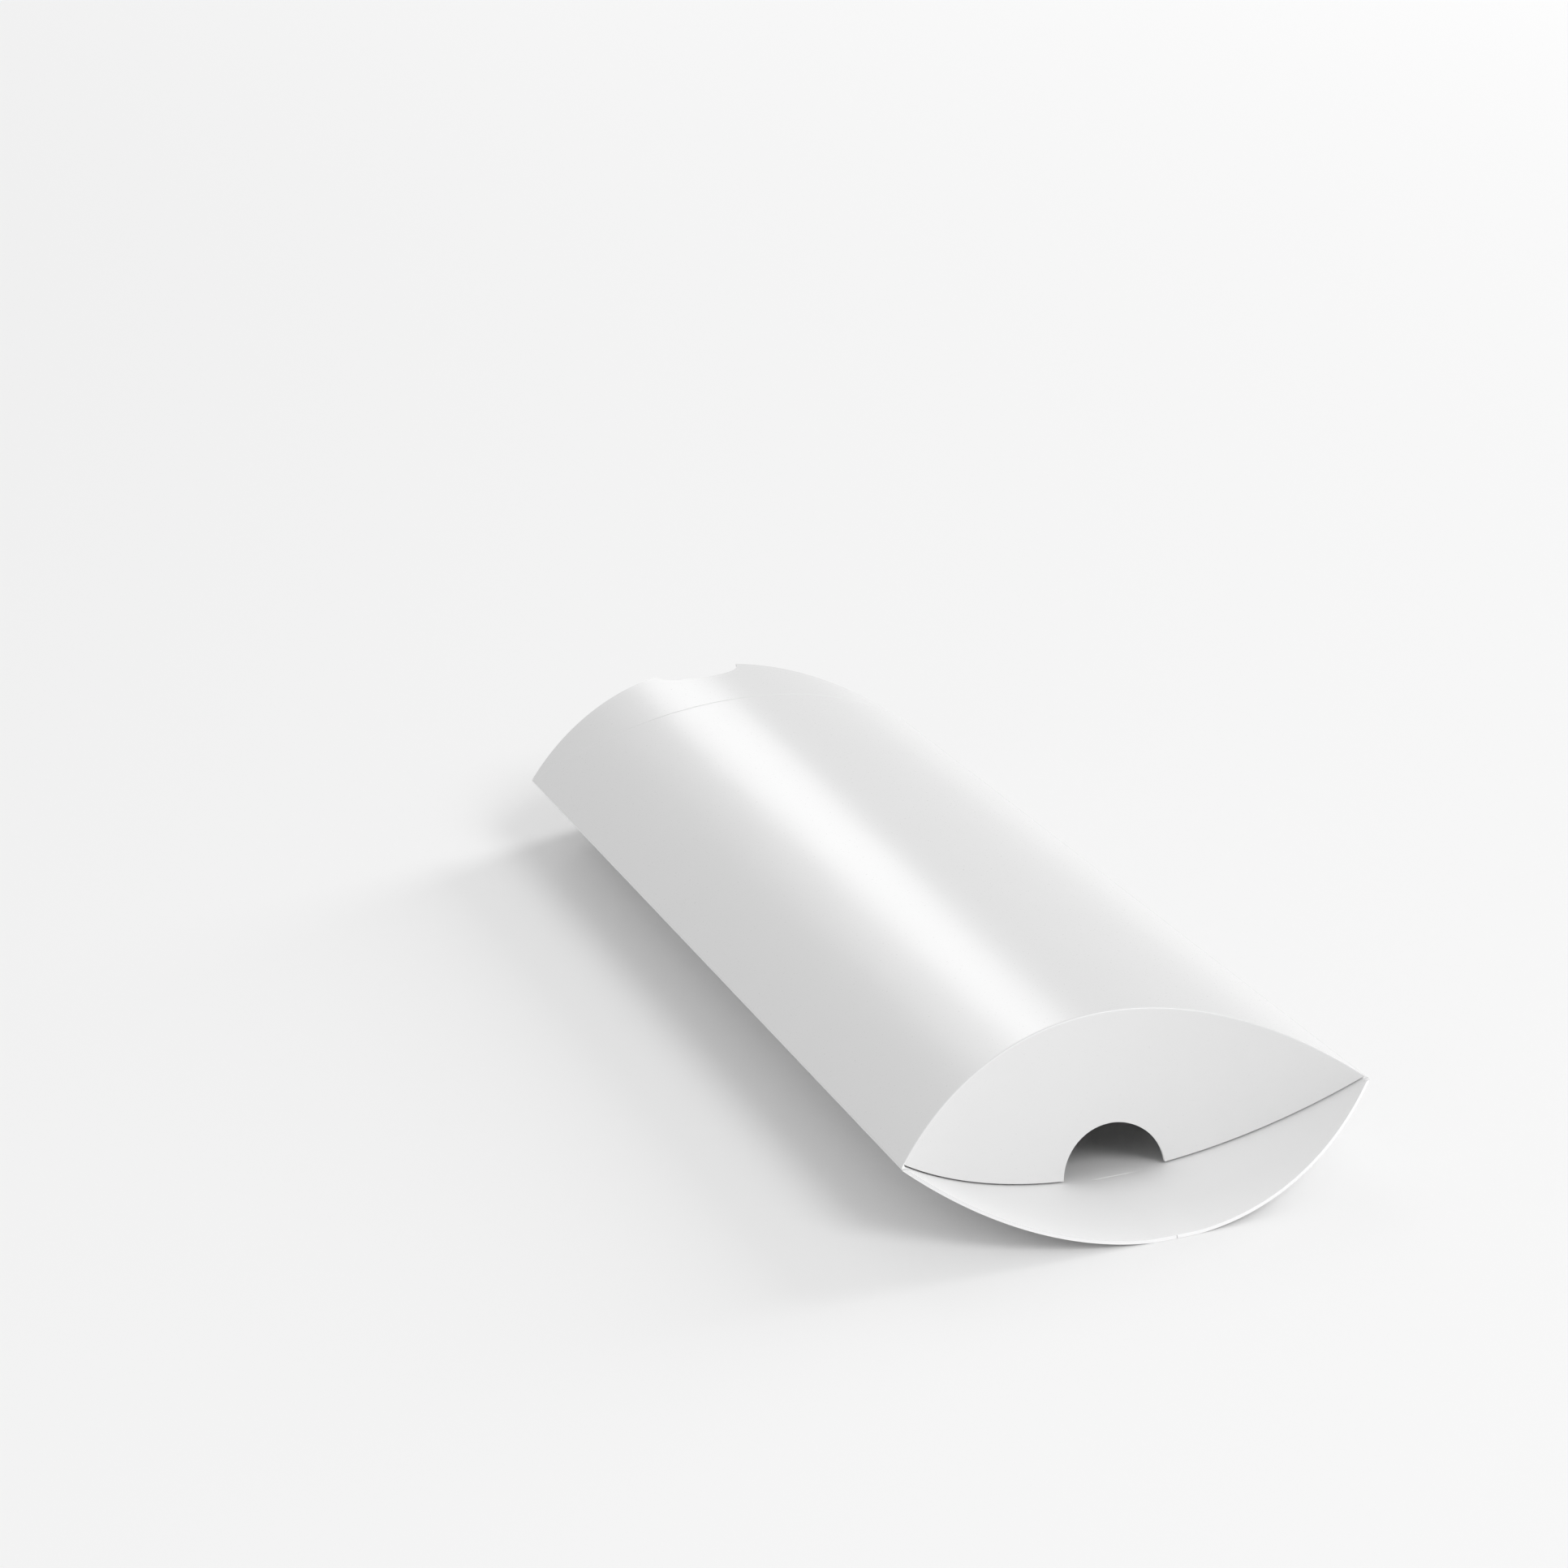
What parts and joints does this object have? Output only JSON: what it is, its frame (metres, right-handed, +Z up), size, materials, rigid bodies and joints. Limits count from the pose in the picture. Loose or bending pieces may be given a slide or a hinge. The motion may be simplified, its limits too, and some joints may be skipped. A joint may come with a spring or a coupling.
{
  "type": "pillow box",
  "caption": "Small folding pillow gift box of white coated board: two curved panels glued along a side seam and a pair of curved tuck flaps at each end, the upper ones with a thumb notch.",
  "frame": {"origin": "on the resting surface, under the middle of the box", "axes": "+Y along the box, from the front end (notched flap folded down, -Y) to the rear end; +Z up; +X to the right of someone who looks at the front end, where the glued seam is"},
  "size_m": [0.08, 0.2644, 0.0287],
  "materials": {
    "outer_board": "white coated board, satin",
    "plain_board": "white uncoated board, matte",
    "glue": "dried glue"
  },
  "bodies": {
    "shell": {"top_panel": "outer_board", "bottom_panel": "outer_board", "seam_flap": "plain_board", "glue_line": "glue"},
    "front_top_flap_centre": {"front_top_flap_centre": "outer_board"},
    "front_top_flap_left": {"front_top_flap_left": "outer_board"},
    "front_top_flap_right": {"front_top_flap_right": "outer_board"},
    "front_bottom_flap_centre": {"front_bottom_flap_centre": "outer_board"},
    "front_bottom_flap_left": {"front_bottom_flap_left": "outer_board"},
    "front_bottom_flap_right": {"front_bottom_flap_right": "outer_board"},
    "rear_top_flap_centre": {"rear_top_flap_centre": "outer_board"},
    "rear_top_flap_left": {"rear_top_flap_left": "outer_board"},
    "rear_top_flap_right": {"rear_top_flap_right": "outer_board"},
    "rear_bottom_flap_centre": {"rear_bottom_flap_centre": "outer_board"},
    "rear_bottom_flap_left": {"rear_bottom_flap_left": "outer_board"},
    "rear_bottom_flap_right": {"rear_bottom_flap_right": "outer_board"}
  },
  "joints": [
    {"name": "front_top_flap_fold", "type": "hinge", "parent": "shell", "child": "front_top_flap_centre", "pos_m": [0, -0.1039, 0.02867], "axis": [-1, 0, 0], "range_deg": [0, 91.21]},
    {"name": "front_top_flap_left_bend", "type": "hinge", "parent": "front_top_flap_centre", "child": "front_top_flap_left", "pos_m": [-0.004, -0.10343, 0.02868], "axis": [0, 0.0211, -0.9998], "range_deg": [-0.4, 45.5], "deforming": ["front_top_flap_left"]},
    {"name": "front_top_flap_right_bend", "type": "hinge", "parent": "front_top_flap_centre", "child": "front_top_flap_right", "pos_m": [0.004, -0.10343, 0.02868], "axis": [0, -0.0211, 0.9998], "range_deg": [-0.4, 45.5], "deforming": ["front_top_flap_right"]},
    {"name": "front_bottom_flap_fold", "type": "hinge", "parent": "shell", "child": "front_bottom_flap_centre", "pos_m": [0, -0.1042, -0.00013], "axis": [-1, 0, 0], "range_deg": [0, 87]},
    {"name": "front_bottom_flap_left_bend", "type": "hinge", "parent": "front_bottom_flap_centre", "child": "front_bottom_flap_left", "pos_m": [-0.004, -0.1042, 0], "axis": [0, -1, 0], "range_deg": [-0.4, 47.9]},
    {"name": "front_bottom_flap_right_bend", "type": "hinge", "parent": "front_bottom_flap_centre", "child": "front_bottom_flap_right", "pos_m": [0.004, -0.1042, 0], "axis": [0, 1, 0], "range_deg": [-0.4, 47.9]},
    {"name": "rear_top_flap_fold", "type": "hinge", "parent": "shell", "child": "rear_top_flap_centre", "pos_m": [0, 0.1039, 0.02867], "axis": [-1, 0, 0], "range_deg": [0, 91.21]},
    {"name": "rear_top_flap_left_bend", "type": "hinge", "parent": "rear_top_flap_centre", "child": "rear_top_flap_left", "pos_m": [-0.004, 0.1039, 0.02854], "axis": [0, 1, 0], "range_deg": [-0.4, 45.5]},
    {"name": "rear_top_flap_right_bend", "type": "hinge", "parent": "rear_top_flap_centre", "child": "rear_top_flap_right", "pos_m": [0.004, 0.1039, 0.02854], "axis": [0, -1, 0], "range_deg": [-0.4, 45.5]},
    {"name": "rear_bottom_flap_fold", "type": "hinge", "parent": "shell", "child": "rear_bottom_flap_centre", "pos_m": [0, 0.1042, -0.00013], "axis": [1, 0, 0], "range_deg": [0, 87]},
    {"name": "rear_bottom_flap_left_bend", "type": "hinge", "parent": "rear_bottom_flap_centre", "child": "rear_bottom_flap_left", "pos_m": [-0.004, 0.1042, 0], "axis": [0, -1, 0], "range_deg": [-0.4, 47.9]},
    {"name": "rear_bottom_flap_right_bend", "type": "hinge", "parent": "rear_bottom_flap_centre", "child": "rear_bottom_flap_right", "pos_m": [0.004, 0.1042, 0], "axis": [0, 1, 0], "range_deg": [-0.4, 47.9]}
  ],
  "couplings": [
    {"joint": "front_top_flap_left_bend", "follows": "front_top_flap_fold", "ratio": 0.49448},
    {"joint": "front_top_flap_right_bend", "follows": "front_top_flap_fold", "ratio": 0.49448},
    {"joint": "front_bottom_flap_left_bend", "follows": "front_bottom_flap_fold", "ratio": 0.54598},
    {"joint": "front_bottom_flap_right_bend", "follows": "front_bottom_flap_fold", "ratio": 0.54598},
    {"joint": "rear_top_flap_left_bend", "follows": "rear_top_flap_fold", "ratio": 0.49448},
    {"joint": "rear_top_flap_right_bend", "follows": "rear_top_flap_fold", "ratio": 0.49448},
    {"joint": "rear_bottom_flap_left_bend", "follows": "rear_bottom_flap_fold", "ratio": 0.54598},
    {"joint": "rear_bottom_flap_right_bend", "follows": "rear_bottom_flap_fold", "ratio": 0.54598}
  ]
}
